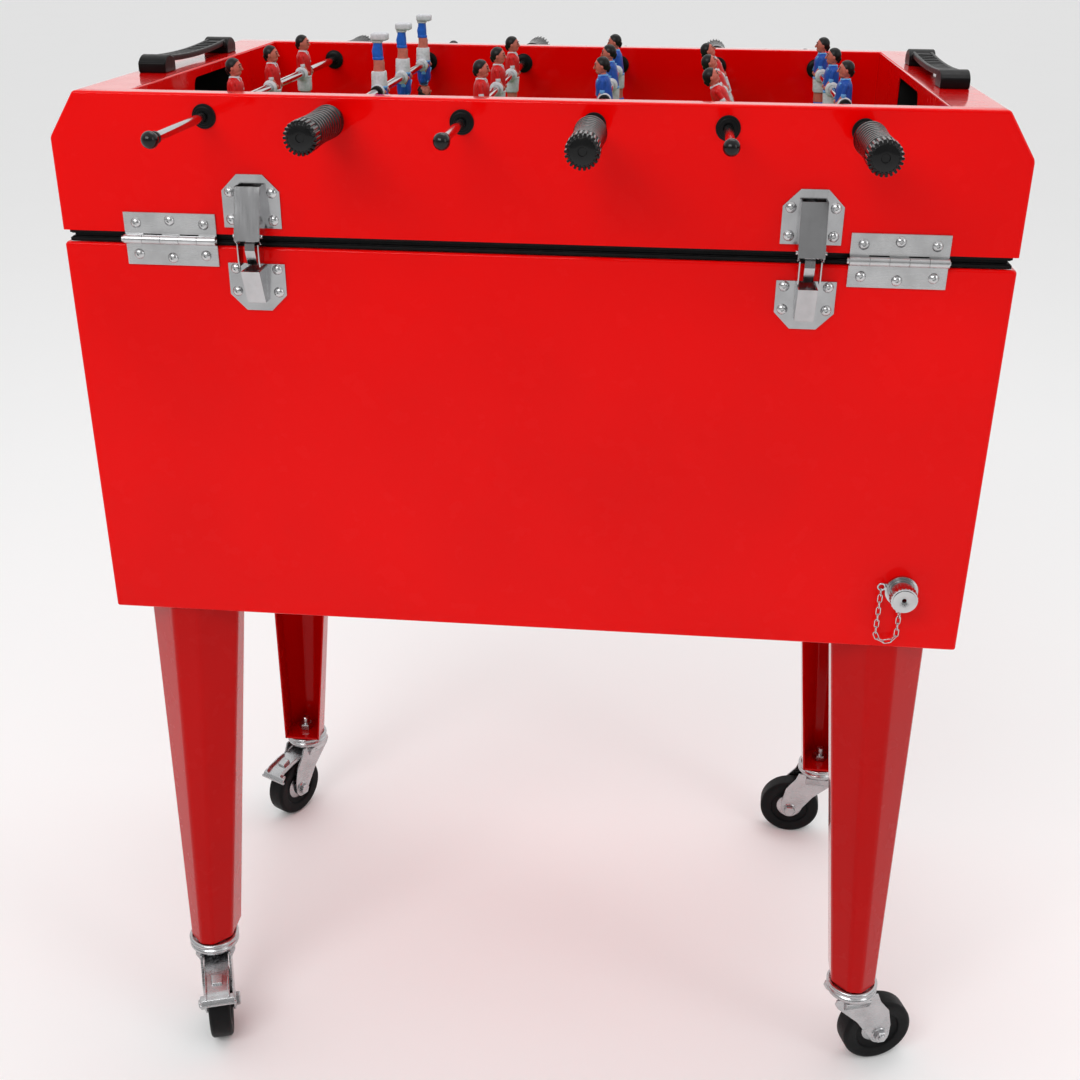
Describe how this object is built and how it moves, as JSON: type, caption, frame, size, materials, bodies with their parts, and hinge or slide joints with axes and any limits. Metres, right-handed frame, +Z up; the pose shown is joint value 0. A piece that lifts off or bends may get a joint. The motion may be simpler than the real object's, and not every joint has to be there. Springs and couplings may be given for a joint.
{
  "type": "foosball table on a rolling cooler",
  "caption": "Rolling patio cooler on tapered legs and swivel casters whose hinged lid is a small foosball table with sliding rods, grips and players.",
  "frame": {"origin": "on the floor under the middle of the cooler", "axes": "+X along the length, to the drain's end; -Y out of the hinge side; +Z up"},
  "size_m": [0.7957, 0.7449, 0.998],
  "materials": {
    "red_paint": "gloss powder coat",
    "red_legs": "gloss powder coat",
    "tub_plastic": "smooth moulded plastic",
    "foam": "rigid foam",
    "polished_steel": "polished",
    "stainless": "fine grain",
    "dark_chrome": "smoky polished",
    "seal_rubber": "matt",
    "black_plastic": "satin moulded",
    "grip_plastic": "gloss moulded",
    "wheel_rubber": "satin",
    "pitch_green": "printed board",
    "players_red": "painted, red shirts",
    "players_blue": "painted, blue shirts"
  },
  "bodies": {
    "cooler": {"cooler_shell": "red_paint", "cooler_liner": "tub_plastic", "cooler_foam": "foam", "legs": "red_legs", "caster_tops": "polished_steel", "drain_spout": "stainless", "drain_chain": "stainless", "hinge_lower_leaves": "polished_steel", "stay_lower_brackets": "dark_chrome", "body_screws": "polished_steel"},
    "lid": {"lid_shell": "red_paint", "lid_liner": "tub_plastic", "lid_foam": "foam", "lid_gasket": "seal_rubber", "playfield": "pitch_green", "goal_boxes": "black_plastic", "carry_handles": "black_plastic", "rod_bushings": "black_plastic", "hinge_upper_leaves": "polished_steel", "stay_upper_brackets": "dark_chrome", "stay_springs": "stainless", "lid_screws": "polished_steel"},
    "stay_link_left": {"stay_link_left": "dark_chrome"},
    "stay_link_right": {"stay_link_right": "dark_chrome"},
    "rod_1_slider": {"rod_1_bumpers": "seal_rubber"},
    "rod_1": {"rod_1_bar": "polished_steel", "rod_1_players": "players_red", "rod_1_ends": "grip_plastic"},
    "rod_2_slider": {"rod_2_bumpers": "seal_rubber"},
    "rod_2": {"rod_2_bar": "polished_steel", "rod_2_players": "players_blue", "rod_2_ends": "grip_plastic"},
    "rod_3_slider": {"rod_3_bumpers": "seal_rubber"},
    "rod_3": {"rod_3_bar": "polished_steel", "rod_3_players": "players_red", "rod_3_ends": "grip_plastic"},
    "rod_4_slider": {"rod_4_bumpers": "seal_rubber"},
    "rod_4": {"rod_4_bar": "polished_steel", "rod_4_players": "players_blue", "rod_4_ends": "grip_plastic"},
    "rod_5_slider": {"rod_5_bumpers": "seal_rubber"},
    "rod_5": {"rod_5_bar": "polished_steel", "rod_5_players": "players_red", "rod_5_ends": "grip_plastic"},
    "rod_6_slider": {"rod_6_bumpers": "seal_rubber"},
    "rod_6": {"rod_6_bar": "polished_steel", "rod_6_players": "players_blue", "rod_6_ends": "grip_plastic"},
    "caster_fork_fl": {"caster_fork_fl": "dark_chrome"},
    "caster_wheel_fl": {"caster_wheel_fl": "wheel_rubber"},
    "caster_pedal_fl": {"caster_pedal_fl": "dark_chrome"},
    "caster_fork_fr": {"caster_fork_fr": "dark_chrome"},
    "caster_wheel_fr": {"caster_wheel_fr": "wheel_rubber"},
    "caster_fork_bl": {"caster_fork_bl": "dark_chrome"},
    "caster_wheel_bl": {"caster_wheel_bl": "wheel_rubber"},
    "caster_pedal_bl": {"caster_pedal_bl": "dark_chrome"},
    "caster_fork_br": {"caster_fork_br": "dark_chrome"},
    "caster_wheel_br": {"caster_wheel_br": "wheel_rubber"},
    "drain_collar": {"drain_washer": "stainless"},
    "drain_cap": {"drain_cap": "stainless"}
  },
  "joints": [
    {"name": "lid_hinge", "type": "hinge", "parent": "cooler", "child": "lid", "pos_m": [0, -0.232, 0.854], "axis": [1, 0, 0], "range_deg": [0, 90]},
    {"name": "stay_pivot_left", "type": "hinge", "parent": "lid", "child": "stay_link_left", "pos_m": [-0.221, -0.2452, 0.862], "axis": [1, 0, 0], "range_deg": [-90, 0]},
    {"name": "stay_pivot_right", "type": "hinge", "parent": "lid", "child": "stay_link_right", "pos_m": [0.221, -0.2452, 0.862], "axis": [1, 0, 0], "range_deg": [-90, 0]},
    {"name": "rod_1_slide", "type": "slide", "parent": "lid", "child": "rod_1_slider", "axis": [0, 1, 0], "range_m": [-0.041, 0.1029]},
    {"name": "rod_1_spin", "type": "hinge", "parent": "rod_1_slider", "child": "rod_1", "pos_m": [-0.25325, -0.03096, 0.95], "axis": [0, 1, 0], "continuous": true},
    {"name": "rod_2_slide", "type": "slide", "parent": "lid", "child": "rod_2_slider", "axis": [0, 1, 0], "range_m": [-0.1389, 0.005]},
    {"name": "rod_2_spin", "type": "hinge", "parent": "rod_2_slider", "child": "rod_2", "pos_m": [-0.15195, 0.06696, 0.95], "axis": [0, 1, 0], "continuous": true},
    {"name": "rod_3_slide", "type": "slide", "parent": "lid", "child": "rod_3_slider", "axis": [0, 1, 0], "range_m": [-0.0647, 0.0791]},
    {"name": "rod_3_spin", "type": "hinge", "parent": "rod_3_slider", "child": "rod_3", "pos_m": [-0.05065, -0.0072, 0.95], "axis": [0, 1, 0], "continuous": true},
    {"name": "rod_4_slide", "type": "slide", "parent": "lid", "child": "rod_4_slider", "axis": [0, 1, 0], "range_m": [-0.1101, 0.0338]},
    {"name": "rod_4_spin", "type": "hinge", "parent": "rod_4_slider", "child": "rod_4", "pos_m": [0.05065, 0.03816, 0.95], "axis": [0, 1, 0], "continuous": true},
    {"name": "rod_5_slide", "type": "slide", "parent": "lid", "child": "rod_5_slider", "axis": [0, 1, 0], "range_m": [-0.0691, 0.0748]},
    {"name": "rod_5_spin", "type": "hinge", "parent": "rod_5_slider", "child": "rod_5", "pos_m": [0.15195, -0.00288, 0.95], "axis": [0, 1, 0], "continuous": true},
    {"name": "rod_6_slide", "type": "slide", "parent": "lid", "child": "rod_6_slider", "axis": [0, 1, 0], "range_m": [-0.1137, 0.0302]},
    {"name": "rod_6_spin", "type": "hinge", "parent": "rod_6_slider", "child": "rod_6", "pos_m": [0.25325, 0.04176, 0.95], "axis": [0, 1, 0], "continuous": true},
    {"name": "caster_swivel_fl", "type": "hinge", "parent": "cooler", "child": "caster_fork_fl", "pos_m": [-0.3385, -0.2, 0.0917], "axis": [0, 0, 1], "continuous": true},
    {"name": "caster_spin_fl", "type": "hinge", "parent": "caster_fork_fl", "child": "caster_wheel_fl", "pos_m": [-0.32861, -0.23043, 0.0375], "axis": [0.9511, 0.309, 0], "continuous": true},
    {"name": "caster_brake_fl", "type": "hinge", "parent": "caster_fork_fl", "child": "caster_pedal_fl", "pos_m": [-0.33726, -0.2038, 0.0857], "axis": [0.9511, 0.309, 0], "range_deg": [0, 3]},
    {"name": "caster_swivel_fr", "type": "hinge", "parent": "cooler", "child": "caster_fork_fr", "pos_m": [0.3385, -0.2, 0.0917], "axis": [0, 0, 1], "continuous": true},
    {"name": "caster_spin_fr", "type": "hinge", "parent": "caster_fork_fr", "child": "caster_wheel_fr", "pos_m": [0.36893, -0.19011, 0.0375], "axis": [-0.309, 0.9511, 0], "continuous": true},
    {"name": "caster_swivel_bl", "type": "hinge", "parent": "cooler", "child": "caster_fork_bl", "pos_m": [-0.3385, 0.2, 0.0917], "axis": [0, 0, 1], "continuous": true},
    {"name": "caster_spin_bl", "type": "hinge", "parent": "caster_fork_bl", "child": "caster_wheel_bl", "pos_m": [-0.35352, 0.17175, 0.0375], "axis": [0.8829, -0.4695, 0], "continuous": true},
    {"name": "caster_brake_bl", "type": "hinge", "parent": "caster_fork_bl", "child": "caster_pedal_bl", "pos_m": [-0.34038, 0.19647, 0.0857], "axis": [0.8829, -0.4695, 0], "range_deg": [0, 3]},
    {"name": "caster_swivel_br", "type": "hinge", "parent": "cooler", "child": "caster_fork_br", "pos_m": [0.3385, 0.2, 0.0917], "axis": [0, 0, 1], "continuous": true},
    {"name": "caster_spin_br", "type": "hinge", "parent": "caster_fork_br", "child": "caster_wheel_br", "pos_m": [0.30658, 0.20223, 0.0375], "axis": [-0.0698, -0.9976, 0], "continuous": true},
    {"name": "drain_cap_out", "type": "slide", "parent": "cooler", "child": "drain_collar", "axis": [0, -1, 0], "range_m": [0, 0.002]},
    {"name": "drain_cap_turn", "type": "hinge", "parent": "drain_collar", "child": "drain_cap", "pos_m": [0.327, -0.238, 0.57], "axis": [0, -1, 0], "range_deg": [0, 720]}
  ],
  "couplings": [
    {"joint": "stay_pivot_left", "follows": "lid_hinge", "ratio": -1},
    {"joint": "stay_pivot_right", "follows": "lid_hinge", "ratio": -1},
    {"joint": "drain_cap_out", "follows": "drain_cap_turn", "m_per_rad": 0.00015914}
  ]
}
